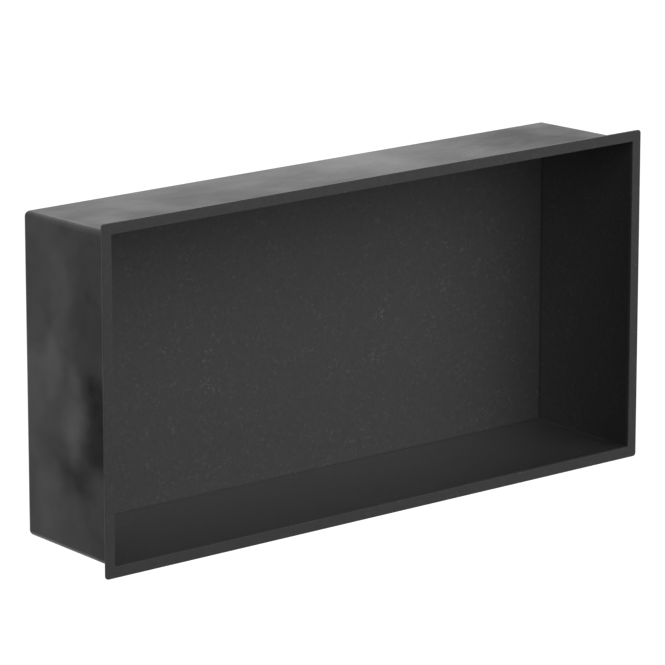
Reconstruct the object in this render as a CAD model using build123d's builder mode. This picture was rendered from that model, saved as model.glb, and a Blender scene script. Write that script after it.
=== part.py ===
from build123d import *
import os
from math import atan, degrees

# Shower niche insert: a shallow open box with a flat flange round its mouth, folded from one metal sheet.
# The origin is the centre of the flange's back face, which lies on the finished wall.
# +X runs to the right as the niche is seen, +Y goes into the wall and +Z is up.

os.makedirs("parts", exist_ok=True)

# Driving dimensions, in millimetres.
opening_width = 600.0  # clear mouth, between the side walls
opening_height = 291.0  # clear mouth, between the floor and the top
depth = 125.5  # from the flange's front face to the back of the box
sheet = 2.0  # thickness of the walls and of the flange
rim = 10.0  # width of the flange as it shows round the mouth

# Each wall leans in by this much over the depth, so the box slips into its cut-out and the floor drains.
side_draw = 1.0
floor_draw = 2.4

# Radii.
outer_radius = 5.0  # welded and ground edges of the box, outside
inner_radius = 1.0  # the same edges, inside
root_radius = 1.0  # fold between the box and the back of the flange
mouth_radius = 0.6  # fold between the walls and the front of the flange
flange_corner = 3.0  # corners of the flange, seen from the front
edge_break = 0.4  # long edges of the flange

flange_width = opening_width + 2 * rim
flange_height = opening_height + 2 * rim
side_lean = degrees(atan(side_draw / depth))
floor_lean = degrees(atan(floor_draw / depth))

wall_plane = Plane.XZ
front_plane = wall_plane.offset(sheet)


def leaning_block(width, height, reach, radius):
    """A block that runs back from the front plane, with leaning walls and round edges behind its mouth."""
    with BuildPart() as block:
        with BuildSketch(front_plane):
            Rectangle(width, height)
        extrude(amount=-reach)
        draft(block.faces().filter_by(Axis.X), front_plane, -side_lean)
        draft(block.faces().filter_by(Axis.Z), front_plane, -floor_lean)
        mouth = block.faces().sort_by(Axis.Y)[0]
        fillet(block.edges() - mouth.edges(), radius)
    return block.part


def flange_faces(body):
    """The flange's front face, then its back face."""
    return body.faces().filter_by(Axis.Y).sort_by(Axis.Y)[:2]


outside = leaning_block(opening_width + 2 * sheet, opening_height + 2 * sheet, depth, outer_radius)
cavity = leaning_block(opening_width, opening_height, depth - sheet, inner_radius)

with BuildPart() as niche_insert:
    add(outside)

    # The flange stands on the wall plane and reaches forward by the sheet's thickness.
    with BuildSketch(wall_plane):
        RectangleRounded(flange_width, flange_height, flange_corner)
    extrude(amount=sheet)

    # The hollow opens through the flange.
    add(cavity, mode=Mode.SUBTRACT)

    # The fold behind the flange, then the fold at the mouth, then the flange's own long edges.
    front, back = flange_faces(niche_insert)
    fillet(back.inner_wires()[0].edges(), root_radius)
    front, back = flange_faces(niche_insert)
    fillet(front.inner_wires()[0].edges(), mouth_radius)
    front, back = flange_faces(niche_insert)
    fillet(front.outer_wire().edges() + back.outer_wire().edges(), edge_break)

niche_insert.part.label = "niche_insert"
export_step(niche_insert.part, "parts/niche_insert.step")
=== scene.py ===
# %% [markdown]
# # A shower niche insert
# A niche insert is a shallow open box with a flat flange round its mouth. It is folded from one metal
# sheet, welded and ground at the corners, and coated matt black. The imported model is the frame: it fixes
# where everything is and how large, and this lesson makes the looks around it, in metres.

# %% Load the frame
import math

import bmesh
import bpy
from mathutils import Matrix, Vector


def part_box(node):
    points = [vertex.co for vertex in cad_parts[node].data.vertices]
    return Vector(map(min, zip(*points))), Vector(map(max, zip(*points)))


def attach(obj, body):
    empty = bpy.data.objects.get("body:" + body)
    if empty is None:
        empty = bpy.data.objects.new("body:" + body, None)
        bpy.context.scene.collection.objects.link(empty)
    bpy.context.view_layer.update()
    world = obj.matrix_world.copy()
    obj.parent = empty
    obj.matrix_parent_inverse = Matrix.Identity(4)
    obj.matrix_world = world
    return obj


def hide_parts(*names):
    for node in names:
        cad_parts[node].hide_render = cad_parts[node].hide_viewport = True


MM = 0.001
NODE = "niche_insert"

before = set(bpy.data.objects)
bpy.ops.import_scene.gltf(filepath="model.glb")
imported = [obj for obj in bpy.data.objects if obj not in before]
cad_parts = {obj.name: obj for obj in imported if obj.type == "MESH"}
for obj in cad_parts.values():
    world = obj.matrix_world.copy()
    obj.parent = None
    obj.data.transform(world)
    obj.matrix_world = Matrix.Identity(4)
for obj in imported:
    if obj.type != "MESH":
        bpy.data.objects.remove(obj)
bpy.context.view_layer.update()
low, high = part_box(NODE)
scene = bpy.context.scene
print("CAD box in mm:", [round(v / MM, 2) for v in high - low])

# %% [markdown]
# ## Where the camera stands
# The picture was taken with a long lens: its level edges hardly run together. A camera is easiest to read
# as a point it looks at, a turn and a rise about that point, and a distance. These were found by laying
# the box's straight edges over the picture, and the lens follows from how large the box then appears.

# %% Camera
CAMERA_TURN = -39.77
CAMERA_RISE = 14.07
CAMERA_DISTANCE = 4.107
LENS = 253.33
SENSOR = 36.0
aim = Vector((-57.15, 0.0, 21.68)) * MM


def towards(turn, rise):
    """The direction from the niche to something: degrees to the right of its front, degrees above it."""
    turn, rise = math.radians(turn), math.radians(rise)
    return Vector((
        math.sin(turn) * math.cos(rise),
        -math.cos(turn) * math.cos(rise),
        math.sin(rise),
    ))


def stand_off(thing, target, turn, rise, distance):
    """Puts a camera or a lamp into the scene, at a distance from a target and pointing at it."""
    way = towards(turn, rise)
    thing.location = target + way * distance
    thing.rotation_mode = "QUATERNION"
    thing.rotation_quaternion = (-way).to_track_quat("-Z", "Y")
    scene.collection.objects.link(thing)


camera_data = bpy.data.cameras.new("camera")
camera_data.sensor_width = SENSOR
camera_data.lens = LENS
camera = bpy.data.objects.new("camera", camera_data)
stand_off(camera, aim, CAMERA_TURN, CAMERA_RISE, CAMERA_DISTANCE)
scene.camera = camera
print("camera at", [round(v, 3) for v in camera.location])

# %% [markdown]
# ## The folded sheet
# The real niche starts as a flat sheet: the flange is its rim, the box is pushed back behind it. It could
# be cut from a block with booleans, but those leave ragged edges. So the mesh is made as the sheet is. A
# thin plate is the flange. Its front face is inset by the rim and pushed back to make the hollow, and its
# back face is inset to the outside of the walls and pushed back to make the box. Nothing is cut or joined,
# so the wall is closed and keeps the sheet's thickness everywhere.

# %% Plate
SHEET = -low.y
RIM = 10 * MM

bm = bmesh.new()
bmesh.ops.create_cube(bm, size=1.0)
bmesh.ops.scale(bm, verts=bm.verts, vec=(high.x - low.x, SHEET, high.z - low.z))
bmesh.ops.translate(bm, verts=bm.verts, vec=(0, low.y + SHEET / 2, 0))
bm.normal_update()
plate_front = min(bm.faces, key=lambda face: face.normal.y)
plate_back = max(bm.faces, key=lambda face: face.normal.y)
print("plate", round(SHEET / MM, 2), "mm thick, with a rim of", RIM / MM, "mm")

# %% Hollow and box
SIDE_DRAW = 1.0 * MM
FLOOR_DRAW = 2.4 * MM
OUTSIDE, INSIDE = 0, 1  # the two coats, by the place of their material on the mesh
depth = high.y - low.y


def draw_in(verts, from_y):
    """Moves a loop towards the middle by what the walls lean in behind a plane."""
    for vert in verts:
        share = (vert.co.y - from_y) / depth
        vert.co.x -= math.copysign(SIDE_DRAW * share, vert.co.x)
        vert.co.z -= math.copysign(FLOOR_DRAW * share, vert.co.z)


def push_back(face, inset, to_y, coat):
    """Insets a face and pushes its middle back to a plane, with walls that lean in."""
    ring = bmesh.ops.inset_region(bm, faces=[face], thickness=inset, use_even_offset=True)["faces"]
    from_y = face.verts[0].co.y
    draw_in(face.verts, low.y)
    panel = bmesh.ops.extrude_discrete_faces(bm, faces=[face])["faces"][0]
    bmesh.ops.translate(bm, verts=panel.verts, vec=(0, to_y - from_y, 0))
    draw_in(panel.verts, from_y)
    walls = {near for edge in panel.edges for near in edge.link_faces}
    for part in walls.union(ring):
        part.material_index = coat


push_back(plate_front, RIM, high.y - SHEET, INSIDE)
push_back(plate_back, RIM - SHEET, high.y, OUTSIDE)
bm.normal_update()
print("faces", len(bm.faces), "closed", all(edge.is_manifold for edge in bm.edges))

# %% [markdown]
# ## Folds and edges
# No edge of a coated sheet is sharp. The box's outside edges are ground round after welding, the inside
# ones stay nearly sharp, and the flange has just enough of a break to hold its coat. One Bevel modifier
# would give them all the same radius, so each kind is a bevel operator of its own. The edges that run into
# the wall go first, because they shape the loops that the later bevels run round. A bevel's own faces are
# shaded smooth and the sheet between them stays flat.

# %% Picking edges
NEAR = 0.01 * MM
SHARP = math.radians(30)


def box_edges(coat):
    """The box's edges on one side of its sheet: those that run back from the flange and those behind."""
    return [
        edge for edge in bm.edges
        if edge.calc_face_angle() > SHARP
        and max(vert.co.y for vert in edge.verts) > SHEET
        and all(face.material_index == coat for face in edge.link_faces)
    ]


def flange_loop(y, at_box):
    """The loop of edges on one face of the flange: where the box starts, or its own outline."""
    def beside_box(vert):
        return abs(vert.co.x) < high.x - RIM / 2 and abs(vert.co.z) < high.z - RIM / 2

    return [
        edge for edge in bm.edges
        if edge.calc_face_angle() > SHARP
        and all(abs(vert.co.y - y) < NEAR and beside_box(vert) == at_box for vert in edge.verts)
    ]


flange_corners = [
    edge for edge in bm.edges
    if all(abs(vert.co.x) > high.x - NEAR for vert in edge.verts)
    and abs(edge.verts[0].co.y - edge.verts[1].co.y) > NEAR
]
print("box edges", len(box_edges(OUTSIDE)), "outside and", len(box_edges(INSIDE)), "inside")

# %% Folds
OUTER_RADIUS = 5.0 * MM
INNER_RADIUS = 1.0 * MM
CORNER_RADIUS = 3.0 * MM
ROOT_RADIUS = 1.0 * MM
MOUTH_RADIUS = 0.6 * MM
EDGE_BREAK = 0.4 * MM


def fold(edges, radius, segments):
    """Rounds edges to a radius and shades the round smooth."""
    count = len(edges)
    made = bmesh.ops.bevel(
        bm, geom=edges, offset=radius, offset_type="OFFSET", affect="EDGES",
        segments=segments, profile=0.5, material=-1, clamp_overlap=False,
    )
    for face in made["faces"]:
        face.smooth = True
    bm.normal_update()
    print(f"{count:3d} edges rounded to {radius / MM:.1f} mm")


fold(box_edges(OUTSIDE), OUTER_RADIUS, segments=8)
fold(box_edges(INSIDE), INNER_RADIUS, segments=4)
fold(flange_corners, CORNER_RADIUS, segments=6)
fold(flange_loop(0.0, at_box=True), ROOT_RADIUS, segments=4)
fold(flange_loop(low.y, at_box=True), MOUTH_RADIUS, segments=3)
fold(flange_loop(0.0, at_box=False) + flange_loop(low.y, at_box=False), EDGE_BREAK, segments=3)

# %% [markdown]
# ## The finished sheet
# The real sheet is one piece, so it becomes one object. It could be moved and scaled as an object, but a
# pattern on object coordinates would then slide with it. So its place is in its mesh, and the object stays
# at the origin. It rides on the frame's only body and takes the place of the plain CAD solid.

# %% Sheet body
sheet_mesh = bpy.data.meshes.new("niche_sheet")
bm.to_mesh(sheet_mesh)
bm.free()
sheet = bpy.data.objects.new("niche_sheet", sheet_mesh)
scene.collection.objects.link(sheet)
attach(sheet, "root")
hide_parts(NODE)
print("sheet body", len(sheet_mesh.polygons), "faces")

# %% [markdown]
# ## Nodes
# The sheet has two finishes. A finish is a small tree of nodes, and it could be clicked together in the
# shader editor. In a script one helper does nearly all of it: it adds a node, sets it up and links what
# comes in, so each finish reads from top to bottom. Two more are short forms for the nodes that come up
# most, Math and Map Range.

# %% Adding nodes
def put(tree, kind, inputs=None, **settings):
    """Adds a shader node, sets its properties, and gives each named input a value or a link."""
    made = tree.nodes.new("ShaderNode" + kind)
    for name, value in settings.items():
        setattr(made, name, value)
    for name, value in (inputs or {}).items():
        if isinstance(value, bpy.types.NodeSocket):
            tree.links.new(value, made.inputs[name])
        else:
            made.inputs[name].default_value = value
    return made


def calculate(tree, operation, *values):
    """A Math node on values or sockets, as one socket."""
    return put(tree, "Math", dict(enumerate(values)), operation=operation).outputs[0]


def spread(tree, value, from_low, from_high, to_low=0.0, to_high=1.0, interpolation_type="LINEAR"):
    """Maps one range of values to another, held at both ends."""
    made = put(tree, "MapRange", {
        "Value": value, "From Min": from_low, "From Max": from_high, "To Min": to_low, "To Max": to_high,
    }, interpolation_type=interpolation_type)
    return made.outputs["Result"]


print("node helpers:", ", ".join(helper.__name__ for helper in (put, calculate, spread)))

# %% [markdown]
# ## Materials and groups
# Some effects are in both finishes: the clouds, the spots and the grain. Their nodes could be copied, but
# then a change has to be made twice. A node group is built once and placed in each material, with its own
# values on the sockets that the group names.

# %% Starting a material or a group
VALUE, VECTOR = "NodeSocketFloat", "NodeSocketVector"


def new_material(name):
    """An empty material: its node tree comes back with it."""
    material = bpy.data.materials.new(name)
    material.use_nodes = True
    material.node_tree.nodes.clear()
    return material, material.node_tree


def new_group(name, inputs, outputs):
    """An empty node group: its tree, the sockets that come in and those that go out."""
    tree = bpy.data.node_groups.new(name, "ShaderNodeTree")
    for direction, sockets in (("INPUT", inputs), ("OUTPUT", outputs)):
        for label, kind in sockets.items():
            tree.interface.new_socket(label, in_out=direction, socket_type=kind)
    print("group", name, "takes", ", ".join(inputs), "and gives", ", ".join(outputs))
    return tree, tree.nodes.new("NodeGroupInput").outputs, tree.nodes.new("NodeGroupOutput").inputs


# %% [markdown]
# ## Smoke
# A sprayed coat is never quite even: it comes and goes in soft clouds. Plain noise would look like round
# blobs. Here the place is first pushed about by a finer noise, so every cloud has a billowing edge, and
# then stretched, so the clouds can run along a wall. The bent place is put out too, for marks with the same
# edge. The noises are 4D: the fourth number only picks one sky of clouds out of many.

# %% Smoke group
NOISE_MIDDLE = 0.5
NOISE_SPAN = (0.3, 0.7)  # a noise seldom leaves it
CURLS_PER_METRE = 26.0
CURL_DETAIL = 4.0
DRIFT = 30 * MM
CLOUD_DETAIL, CLOUD_ROUGHNESS = 6.0, 0.68
SKY = 5.18


def make_smoke():
    """Clouds from 0 to 1, and the place as the curls bend it."""
    tree, given, result = new_group("smoke", {"Place": VECTOR, "Stretch": VECTOR}, {
        "Cloud": VALUE, "Bent Place": VECTOR,
    })
    curl = put(tree, "TexNoise", {
        "Vector": given["Place"], "W": SKY, "Scale": CURLS_PER_METRE, "Detail": CURL_DETAIL,
    }, noise_dimensions="4D")
    centred = put(tree, "VectorMath", {
        0: curl.outputs["Color"], 1: [NOISE_MIDDLE] * 3,
    }, operation="SUBTRACT")
    push = put(tree, "VectorMath", {0: centred.outputs[0], "Scale": DRIFT}, operation="SCALE")
    bent = put(tree, "VectorMath", {0: given["Place"], 1: push.outputs[0]}, operation="ADD")
    drawn = put(tree, "VectorMath", {0: bent.outputs[0], 1: given["Stretch"]}, operation="MULTIPLY")
    cloud = put(tree, "TexNoise", {
        "Vector": drawn.outputs[0], "W": SKY, "Scale": 1.0,
        "Detail": CLOUD_DETAIL, "Roughness": CLOUD_ROUGHNESS,
    }, noise_dimensions="4D")
    tree.links.new(spread(tree, cloud.outputs["Fac"], *NOISE_SPAN), result["Cloud"])
    tree.links.new(bent.outputs[0], result["Bent Place"])
    return tree


smoke_group = make_smoke()

# %% [markdown]
# ## Soft spots
# Some marks have a place of their own, such as a smudge beside the flange. They could be painted on an
# image, but a rule can be read and moved. One mark is a ball in space that fades from its centre: a Mapping
# node moves, leans and stretches the place into the ball's own size, and a spherical gradient fades it. The
# balls are flat, so one that sits on a wall hardly touches the others.

# %% Soft spot group
FADE = 0.8  # the share of the ball over which it fades


def make_soft_spot():
    """A mask: 1 at the middle of a ball, falling to 0 at its edge."""
    tree, given, result = new_group("soft_spot", {
        "Place": VECTOR, "Centre": VECTOR, "Lean": VECTOR, "Reach": VECTOR,
    }, {"Mask": VALUE})
    own = put(tree, "Mapping", {
        "Vector": given["Place"],
        "Location": given["Centre"],
        "Rotation": given["Lean"],
        "Scale": given["Reach"],
    }, vector_type="TEXTURE")
    ball = put(tree, "TexGradient", {"Vector": own.outputs["Vector"]}, gradient_type="SPHERICAL")
    mask = spread(tree, ball.outputs["Fac"], 0.0, FADE, interpolation_type="SMOOTHSTEP")
    tree.links.new(mask, result["Mask"])
    return tree


def spot(tree, place, centre, reach, lean=0.0):
    """One soft spot, placed and sized in millimetres, leaning in degrees about the X axis."""
    return put(tree, "Group", {
        "Place": place,
        "Centre": Vector(centre) * MM,
        "Reach": Vector(reach) * MM,
        "Lean": (math.radians(lean), 0.0, 0.0),
    }, node_tree=soft_spot_group).outputs["Mask"]


soft_spot_group = make_soft_spot()

# %% [markdown]
# ## Grain
# Close up, a matt coat is a fine grain with a slight orange peel under it. It is far too fine for the mesh,
# so it is a bump. Both parts are noises: the height goes to the bump, and the shade makes the gloss uneven
# at the same scale, as it is on real powder coat.

# %% Grain group
GRAINS_PER_METRE = 1500.0
PEEL_PER_METRE = 330.0
PEEL_SHARE = 0.6
GRAIN_HEIGHT = 0.06 * MM
GRAIN_STRENGTH = 0.6


def make_grain():
    """The coat's height, and a shade that varies with it."""
    tree, given, result = new_group("coat_grain", {"Place": VECTOR}, {"Height": VALUE, "Shade": VALUE})
    grain = put(tree, "TexNoise", {"Vector": given["Place"], "Scale": GRAINS_PER_METRE, "Detail": 2.0})
    peel = put(tree, "TexNoise", {"Vector": given["Place"], "Scale": PEEL_PER_METRE, "Detail": 1.0})
    height = calculate(tree, "MULTIPLY_ADD", peel.outputs["Fac"], PEEL_SHARE, grain.outputs["Fac"])
    tree.links.new(height, result["Height"])
    tree.links.new(spread(tree, grain.outputs["Fac"], *NOISE_SPAN), result["Shade"])
    return tree


def grain_normal(tree, height):
    """The surface's normal, bumped by the grain."""
    bump = put(tree, "Bump", {"Height": height, "Distance": GRAIN_HEIGHT, "Strength": GRAIN_STRENGTH})
    return bump.outputs["Normal"]


grain_group = make_grain()

# %% [markdown]
# ## Marks on the outside
# The outside of the box disappears into the wall, so it is sprayed once and quickly, and handled while it
# dries. That leaves smudges of a few centimetres, some duller and some brighter. No noise would put them in
# their places, so they are soft spots, given one by one. They are read at the place that the smoke has
# bent, so that their edges billow as the clouds do.

# %% Marks on the outside
LEFT = round((low.x + RIM - SHEET) / MM)  # the left wall and the top, in whole mm as the marks are
TOP = round((high.z - RIM + SHEET) / MM)
MARK_DEPTH = 40
left_marks = (
    # place on the left wall and reach (back, up) in mm, lean in degrees, change of the sheen
    ((60, 0), (400, 600), 0, -0.06),
    ((8, 0), (50, 400), 0, -0.15),
    ((18, 4), (28, 31), 0, -0.27),
    ((20, -37), (29, 36), 0, -0.27),
    ((16, -78), (20, 24), 0, 0.12),
    ((50, -82), (36, 25), 22, -0.22),
    ((66, -62), (50, 24), 0, -0.11),
    ((52, -32), (21, 45), 0, 0.25),
    ((50, 8), (16, 17), 0, 0.15),
    ((50, 34), (22, 16), 0, -0.10),
    ((84, 20), (22, 42), 0, 0.24),
    ((112, -14), (26, 70), 0, 0.19),
    ((72, 80), (20, 60), 0, 0.10),
    ((36, 84), (30, 60), 0, -0.06),
    ((104, 104), (26, 34), 0, -0.05),
    ((92, -108), (34, 44), 0, 0.14),
)
top_marks = (
    # place on the top and reach (right, back) in mm, change of the sheen
    ((236, 58), (84, 90), -0.21),
    ((48, 76), (70, 75), 0.14),
    ((100, 74), (26, 40), -0.08),
    ((-150, 66), (46, 50), -0.07),
    ((-214, 70), (32, 44), 0.13),
    ((-124, 30), (52, 36), -0.14),
    ((-240, 32), (36, 32), -0.13),
    ((-284, 30), (36, 40), 0.15),
    ((20, 124), (330, 36), 0.06),
    ((298, 84), (34, 50), -0.14),
)
outside_marks = [
    ((LEFT, *at), (MARK_DEPTH, *reach), lean, change) for at, reach, lean, change in left_marks
] + [
    ((*at, TOP), (*reach, MARK_DEPTH), 0, change) for at, reach, change in top_marks
]
print(len(left_marks), "marks on the left wall and", len(top_marks), "on the top")

# %% [markdown]
# ## Sheen of the outside
# The outside stays black, and what changes is its sheen: smoky clouds run up the sides and along the top.
# The pattern could be in the colour, but then it would show in every light. So the black below is plain and
# dull, and a coat layer above it carries the pattern in its weight: the clouds, then the marks, then the
# two upper edges, where spray settles and shines a little more.

# %% Sheen
SHEEN = 0.68
SHEEN_SWING = 0.16
OUTSIDE_STRETCH = (10.0, 18.0, 18.0)
EDGE_SHEEN = 0.28
EDGE_REACH = (6, 100, 6)
upper_edges = ((-300, 64, 146), (300, 64, 146))  # the middle of each round, in mm


def sheen_map(tree, place):
    """Where the outside shines: smoke, then each mark, then the box's upper edges."""
    smoke = put(tree, "Group", {"Place": place, "Stretch": OUTSIDE_STRETCH}, node_tree=smoke_group).outputs
    sheen = spread(tree, smoke["Cloud"], 0.0, 1.0, SHEEN - SHEEN_SWING, SHEEN + SHEEN_SWING)
    for centre, reach, lean, change in outside_marks:
        mask = spot(tree, smoke["Bent Place"], centre, reach, lean)
        sheen = calculate(tree, "MULTIPLY_ADD", mask, change, sheen)
    for centre in upper_edges:
        mask = spot(tree, place, centre, EDGE_REACH)
        sheen = calculate(tree, "MULTIPLY_ADD", mask, EDGE_SHEEN, sheen)
    return spread(tree, sheen, 0.0, 1.0)


print("sheen of the clouds", SHEEN, "and", SHEEN_SWING, "either way")

# %% [markdown]
# ## Cloudy coat, for the outside
# The finish is the dull black with that sheen on it, and one more thing: the flange's outline is a little
# paler. Pointiness could find edges, but it depends on the mesh and would take in every fold. The outline
# is where a point reaches the flange's full width or height, so two coordinates are enough.

# %% Cloudy coat
OUTSIDE_GREY = 0.018
EDGE_GREY = 0.072
EDGE_WIDTH = 0.7 * MM
OUTSIDE_ROUGHNESS = (0.45, 0.6)
COAT_ROUGHNESS = 0.22


def edge_map(tree, place):
    """1 along the flange's outer edges, 0 elsewhere."""
    axes = put(tree, "SeparateXYZ", {"Vector": place}).outputs
    past_side = calculate(tree, "SUBTRACT", calculate(tree, "ABSOLUTE", axes["X"]), high.x)
    past_top = calculate(tree, "SUBTRACT", calculate(tree, "ABSOLUTE", axes["Z"]), high.z)
    return spread(tree, calculate(tree, "MAXIMUM", past_side, past_top), -EDGE_WIDTH, 0.0)


def cloudy_coat():
    """The finish of the box's outside and of the flange's edges and back."""
    coat, tree = new_material("cloudy_coat")
    place = put(tree, "TexCoord").outputs["Object"]
    grain = put(tree, "Group", {"Place": place}, node_tree=grain_group).outputs
    shader = put(tree, "BsdfPrincipled", {
        "Base Color": spread(tree, edge_map(tree, place), 0.0, 1.0, OUTSIDE_GREY, EDGE_GREY),
        "Roughness": spread(tree, grain["Shade"], 0.0, 1.0, *OUTSIDE_ROUGHNESS),
        "Specular IOR Level": 0.0,
        "Coat Weight": sheen_map(tree, place),
        "Coat Roughness": COAT_ROUGHNESS,
        "Normal": grain_normal(tree, grain["Height"]),
    })
    put(tree, "OutputMaterial", {"Surface": shader.outputs["BSDF"]})
    print("cloudy coat", len(tree.nodes), "nodes")
    return coat


sheet_mesh.materials.append(cloudy_coat())

# %% [markdown]
# ## Flecks in the hollow
# The side that shows is dead matt, with fine pale flecks that lie in drifts, like slate: dots of one or
# two millimetres and short hairlines. They could be strewn as small meshes, but they are only in the colour
# of the coat, so a texture is the true form. Dots are Voronoi cells of which only some are kept. Hairlines
# are the contours of a noise, broken up by a second one. Smoke decides where both are thick.

# %% Dots and hairlines
DOTS_PER_METRE = 340.0
DOT_EDGE, DOT_CORE = 0.55, 0.1  # where a dot fades out and where it is full, in cells
DOT_CHANCE = (0.75, 1.15)  # from no dot to a full one
DOT_CROWDING = 0.2  # what a drift adds to the chance
HAIRS_PER_METRE = 150.0
HAIR_WIDTH = 0.06
HAIR_GAIN = 0.8
BREAKS_PER_METRE = 250.0
HAIR_CHANCE = (0.56, 0.72)  # from a gap to a whole line
HAIR_CROWDING = 0.15


def dot_map(tree, place, drift):
    """Round flecks from 0 to 1, more of them in the drifts."""
    cell = put(tree, "TexVoronoi", {"Vector": place, "Scale": DOTS_PER_METRE})
    chance = put(tree, "SeparateColor", {"Color": cell.outputs["Color"]}).outputs["Red"]
    kept = spread(tree, calculate(tree, "MULTIPLY_ADD", drift, DOT_CROWDING, chance), *DOT_CHANCE)
    return calculate(tree, "MULTIPLY", kept, spread(tree, cell.outputs["Distance"], DOT_EDGE, DOT_CORE))


def hair_map(tree, place, drift):
    """Short curved lines from 0 to 1, longer in the drifts."""
    curve = put(tree, "TexNoise", {"Vector": place, "Scale": HAIRS_PER_METRE, "Detail": 0.0})
    off_line = calculate(tree, "ABSOLUTE", calculate(tree, "SUBTRACT", curve.outputs["Fac"], NOISE_MIDDLE))
    breaks = put(tree, "TexNoise", {
        "Vector": place, "W": SKY, "Scale": BREAKS_PER_METRE,
    }, noise_dimensions="4D")
    chance = calculate(tree, "MULTIPLY_ADD", drift, HAIR_CROWDING, breaks.outputs["Fac"])
    kept = spread(tree, chance, *HAIR_CHANCE)
    return calculate(tree, "MULTIPLY", kept, spread(tree, off_line, HAIR_WIDTH, 0.0, 0.0, HAIR_GAIN))


print("dots about", round(1 / DOTS_PER_METRE / MM, 1), "mm apart")
print("hairlines about", round(1 / HAIRS_PER_METRE / MM, 1), "mm apart")

# %% [markdown]
# ## Clusters and mottle
# On the back wall the flecks crowd together in a few bright clusters, and between them the grey itself is
# slightly uneven. A denser texture would brighten the whole wall. So the flecks stay as they are, and a
# gain says how pale they come out: low in the bare places, higher in the drifts, and highest in the
# clusters, which are soft spots. The mottle under them is one more noise.

# %% Clusters on the back wall
BACK = (high.y - SHEET) / MM
FLECK_STRETCH = (60.0, 60.0, 60.0)
DRIFT_SPAN = (0.35, 0.75)
BARE_GAIN, DRIFT_GAIN = 0.16, 0.55
MOTTLES_PER_METRE = 260.0
MOTTLE = 0.052
clusters = (
    # place on the back wall and reach (right, up) in mm, gain
    ((-103, -15), (13, 15), 1.3),
    ((-101, -48), (20, 17), 1.0),
    ((101, -14), (12, 15), 0.9),
    ((101, -49), (16, 12), 0.9),
    ((156, -20), (14, 12), 0.45),
    ((180, 5), (10, 18), 0.3),
    ((263, -75), (8, 14), 0.7),
)


def fleck_lift(tree, place):
    """How much paler the coat is than its plain grey, as a factor."""
    smoke = put(tree, "Group", {"Place": place, "Stretch": FLECK_STRETCH}, node_tree=smoke_group).outputs
    drift = smoke["Cloud"]
    flecks = calculate(tree, "MAXIMUM", dot_map(tree, place, drift), hair_map(tree, place, drift))
    gain = spread(tree, drift, *DRIFT_SPAN, BARE_GAIN, DRIFT_GAIN)
    for (x, z), (wide, tall), more in clusters:
        mask = spot(tree, place, (x, BACK, z), (wide, MARK_DEPTH, tall))
        gain = calculate(tree, "MULTIPLY_ADD", mask, more, gain)
    lift = calculate(tree, "MULTIPLY_ADD", flecks, gain, 1.0)
    mottle = put(tree, "TexNoise", {"Vector": place, "Scale": MOTTLES_PER_METRE, "Detail": 2.0})
    uneven = spread(tree, mottle.outputs["Fac"], *NOISE_SPAN, 1.0 - MOTTLE, 1.0 + MOTTLE)
    return calculate(tree, "MULTIPLY", lift, uneven)


print(len(clusters), "clusters on the back wall")

# %% [markdown]
# ## Depth
# The grey of the hollow changes along its depth, and this is painted light and shade: the rim and the walls
# just behind the mouth are painted darker, the walls are painted paler towards the back corners, and the
# back wall has the plain grey. Separate materials would make hard borders. One colour ramp along the depth
# has as many stops as there are changes.

# %% Grey along the depth
INSIDE_GREY = 0.0535
OPAQUE = 1.0
# painted light and shade: a factor below 1 is painted shade, one above 1 is painted light
painted_light_and_shade_steps = (
    # share of the depth, factor on the grey
    (0.0, 0.80),
    (0.03, 0.62),
    (0.5, 0.95),
    (0.97, 1.38),
    (0.99, 1.0),
)


def grey(value):
    """One grey as a colour."""
    return (value, value, value, OPAQUE)


def painted_light_and_shade_map(tree, share):
    """The coat's grey from the rim to the back, with painted shade near the mouth and painted light towards
    the back corners.
    """
    ramp = put(tree, "ValToRGB", {"Fac": share})
    stops = ramp.color_ramp.elements
    while len(stops) < len(painted_light_and_shade_steps):
        stops.new(0.5)  # anywhere between the first and the last, as each gets its place below
    for stop, (position, factor) in zip(stops, painted_light_and_shade_steps):
        stop.position = position
        stop.color = grey(INSIDE_GREY * factor)
    return ramp.outputs["Color"]


print("greys along the depth:", [round(INSIDE_GREY * factor, 3) for _, factor in painted_light_and_shade_steps])

# %% [markdown]
# ## Sides, joints and the wiped floor
# Three more things depend on where a point of the hollow lies. Where two walls meet, a fine dark line stays
# in the joint. Beside the side walls the grey is darker: this is painted shade, standing in for the shade
# that falls beside them. And the floor has a little more sheen, because it is wiped often. Each could be
# painted on a map of the box. Here a point's distances to the walls are worked out from its coordinates and
# from how the walls lean, and all three are read from them.

# %% Distances in the hollow
JOINT_WIDTH = 1.8 * MM
SIDE_REACH = 80 * MM
# the painted shade: the factor on the grey right beside the side walls
PAINTED_SIDE_SHADE = 0.86
ON_FLOOR = 0.1 * MM


def wall_distances(tree, axes, share):
    """How far a point is from the hollow's sides, its floor or top, and its back: far, in front of it."""
    half_width = spread(tree, share, 0.0, 1.0, high.x - RIM, high.x - RIM - SIDE_DRAW)
    half_height = spread(tree, share, 0.0, 1.0, high.z - RIM, high.z - RIM - FLOOR_DRAW)
    to_side = calculate(tree, "SUBTRACT", half_width, calculate(tree, "ABSOLUTE", axes["X"]))
    to_floor = calculate(tree, "SUBTRACT", half_height, calculate(tree, "ABSOLUTE", axes["Z"]))
    to_back = calculate(tree, "SUBTRACT", high.y - SHEET, axes["Y"])
    in_front = spread(tree, axes["Y"], 0.0, JOINT_WIDTH, 2 * SIDE_REACH, 0.0)
    return [calculate(tree, "ADD", distance, in_front) for distance in (to_side, to_floor, to_back)]


def joint_map(tree, distances):
    """0 in the hollow's inner joints, and 1 away from them.

    The wall that a point lies on gives the smallest of its three distances, so the middle one is how far
    the nearest joint is.
    """
    to_side, to_floor, to_back = distances
    nearer = calculate(tree, "MINIMUM", to_side, to_floor)
    farther = calculate(tree, "MAXIMUM", to_side, to_floor)
    middle = calculate(tree, "MAXIMUM", nearer, calculate(tree, "MINIMUM", farther, to_back))
    return spread(tree, middle, 0.0, JOINT_WIDTH)


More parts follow.
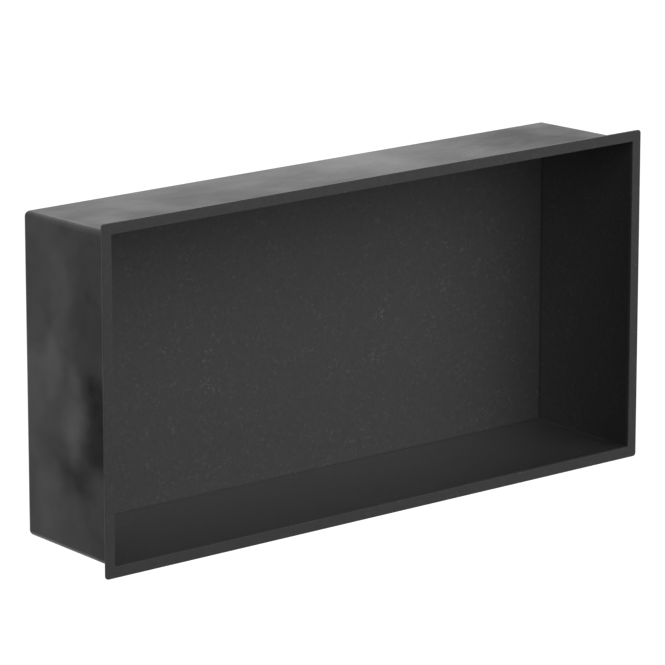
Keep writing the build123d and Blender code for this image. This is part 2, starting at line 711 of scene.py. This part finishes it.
def painted_side_shade_map(tree, distances):
    """Painted shade beside the side walls: a factor on the coat's grey, low at the side walls and 1 away
    from them.
    """
    return spread(tree, distances[0], 0.0, SIDE_REACH, PAINTED_SIDE_SHADE, 1.0, "SMOOTHSTEP")


def floor_map(tree, axes, distances):
    """1 on the hollow's floor, and 0 elsewhere."""
    level = calculate(tree, "LESS_THAN", distances[1], ON_FLOOR)
    below = calculate(tree, "LESS_THAN", axes["Z"], 0.0)
    return calculate(tree, "MULTIPLY", level, below)


# the darker grey within this reach of the sides is painted shade
print("joint lines", JOINT_WIDTH / MM, "mm wide, thin coat within", SIDE_REACH / MM, "mm of the sides")

# %% [markdown]
# ## Flecked coat, for the hollow and the rim
# Now the pieces come together. The colour is the grey of the depth with its painted light and shade, times
# the flecks, times the painted shade beside the sides and the dark of the joints and the wiped floor. A
# stack of Mix nodes could do the same, but factors on one grey can be added or dropped in any order. A coat
# this matt hardly mirrors the room, so its index of refraction is low, and the floor's sheen is a coat
# layer on top.

# %% Flecked coat
JOINT_SHADE = 0.68
WIPED_SHADE = 0.72
INSIDE_ROUGHNESS = (0.28, 0.36)
INSIDE_IOR = 1.12


def flecked_coat():
    """The finish of the hollow and of the flange's front."""
    coat, tree = new_material("flecked_coat")
    place = put(tree, "TexCoord").outputs["Object"]
    axes = put(tree, "SeparateXYZ", {"Vector": place}).outputs
    share = spread(tree, axes["Y"], low.y, high.y - SHEET)
    grain = put(tree, "Group", {"Place": place}, node_tree=grain_group).outputs
    distances = wall_distances(tree, axes, share)
    open_wall = joint_map(tree, distances)
    wiped = calculate(tree, "MULTIPLY", floor_map(tree, axes, distances), open_wall)
    lift = fleck_lift(tree, place)
    for factor in (
        # painted shade beside the side walls
        painted_side_shade_map(tree, distances),
        spread(tree, open_wall, 0.0, 1.0, JOINT_SHADE, 1.0),
        spread(tree, wiped, 0.0, 1.0, 1.0, WIPED_SHADE),
    ):
        lift = calculate(tree, "MULTIPLY", lift, factor)
    # the grey along the depth carries painted shade near the mouth and painted light towards the back
    # corners
    tone = put(tree, "VectorMath", {0: painted_light_and_shade_map(tree, share), "Scale": lift}, operation="SCALE")
    shader = put(tree, "BsdfPrincipled", {
        "Base Color": tone.outputs[0],
        "Roughness": spread(tree, grain["Shade"], 0.0, 1.0, *INSIDE_ROUGHNESS),
        "IOR": INSIDE_IOR,
        "Coat Weight": wiped,
        "Coat Roughness": COAT_ROUGHNESS,
        "Normal": grain_normal(tree, grain["Height"]),
    })
    put(tree, "OutputMaterial", {"Surface": shader.outputs["BSDF"]})
    print("flecked coat", len(tree.nodes), "nodes")
    return coat


sheet_mesh.materials.append(flecked_coat())

# %% [markdown]
# ## Soft light
# A dark matt thing shows its shape through slow changes of grey. A small lamp would draw hard shadows into
# the hollow. One large softbox, high in front and a little to the right, lights the back wall and the floor
# and leaves the right wall dark. Its energy follows from its size, so its glow stays the same if it grows.
# The Standard view shows each grey as it is written.

# %% Softbox
SOFTBOX_TURN = 13.0
SOFTBOX_RISE = 37.0
SOFTBOX_DISTANCE = 1.8
SOFTBOX_SIZE = (3.6, 2.3)
SOFTBOX_GLOW = 2.15

scene.view_settings.view_transform = "Standard"
softbox_data = bpy.data.lights.new("softbox", "AREA")
softbox_data.shape = "RECTANGLE"
softbox_data.size, softbox_data.size_y = SOFTBOX_SIZE
softbox_data.energy = SOFTBOX_GLOW * math.pi * SOFTBOX_SIZE[0] * SOFTBOX_SIZE[1]
softbox = bpy.data.objects.new("softbox", softbox_data)
stand_off(softbox, Vector((0, 0, 0)), SOFTBOX_TURN, SOFTBOX_RISE, SOFTBOX_DISTANCE)
print("softbox", round(softbox_data.energy, 1), "W")

# %% [markdown]
# ## White room
# The niche stands before plain white. Walls of a real room would have to be lit until they are white, and
# that light would wash out the black. A world can be two things at once: white where the camera or a
# reflection looks at it, and a dim fill where it lights the niche. The Light Path node tells them apart.

# %% Room
FILL = 0.27


def shown_directly(tree):
    """1 for rays that show what they meet: straight to the camera, by reflection or through glass."""
    path = put(tree, "LightPath").outputs
    seen = calculate(tree, "ADD", path["Is Camera Ray"], path["Is Glossy Ray"])
    seen = calculate(tree, "ADD", seen, path["Is Transmission Ray"])
    return spread(tree, seen, 0.0, 1.0)


world = bpy.data.worlds.new("room")
scene.world = world
world.use_nodes = True
room = world.node_tree
room.nodes.clear()
level = spread(room, shown_directly(room), 0.0, 1.0, FILL, 1.0)
wall = put(room, "Background", {"Color": grey(1.0), "Strength": level})
put(room, "OutputWorld", {"Surface": wall.outputs["Background"]})
print("room", FILL, "as a fill and 1.0 where it shows")

# %% [markdown]
# ## Floor
# A niche hangs in a wall, so nothing stands under it, and a floor close below would throw light up into
# the box. The pale floor lies well below and is large enough to reach past every view. Its colour takes
# the niche's soft shadow, and a glow that only direct looks see brings it up to the white of the room.

# %% Floor
FLOOR_DROP = 1.2
FLOOR_REACH = 12.0
FLOOR_GREY = 0.45
FLOOR_GLOW = 0.9
FLOOR_ROUGHNESS = 0.9


def make_floor_paint():
    """The floor's finish: pale, and white where it is looked at directly."""
    paint, tree = new_material("floor_paint")
    shader = put(tree, "BsdfPrincipled", {
        "Base Color": grey(FLOOR_GREY),
        "Roughness": FLOOR_ROUGHNESS,
        "Emission Color": grey(1.0),
        "Emission Strength": spread(tree, shown_directly(tree), 0.0, 1.0, 0.0, FLOOR_GLOW),
    })
    put(tree, "OutputMaterial", {"Surface": shader.outputs["BSDF"]})
    return paint


floor_mesh = bpy.data.meshes.new("floor")
floor_plane = bmesh.new()
bmesh.ops.create_grid(floor_plane, x_segments=1, y_segments=1, size=FLOOR_REACH)
bmesh.ops.translate(floor_plane, verts=floor_plane.verts, vec=(0, 0, -FLOOR_DROP))
floor_plane.to_mesh(floor_mesh)
floor_plane.free()
floor_mesh.materials.append(make_floor_paint())
floor = bpy.data.objects.new("floor", floor_mesh)
scene.collection.objects.link(floor)
print("floor", FLOOR_DROP, "m below the middle of the niche")
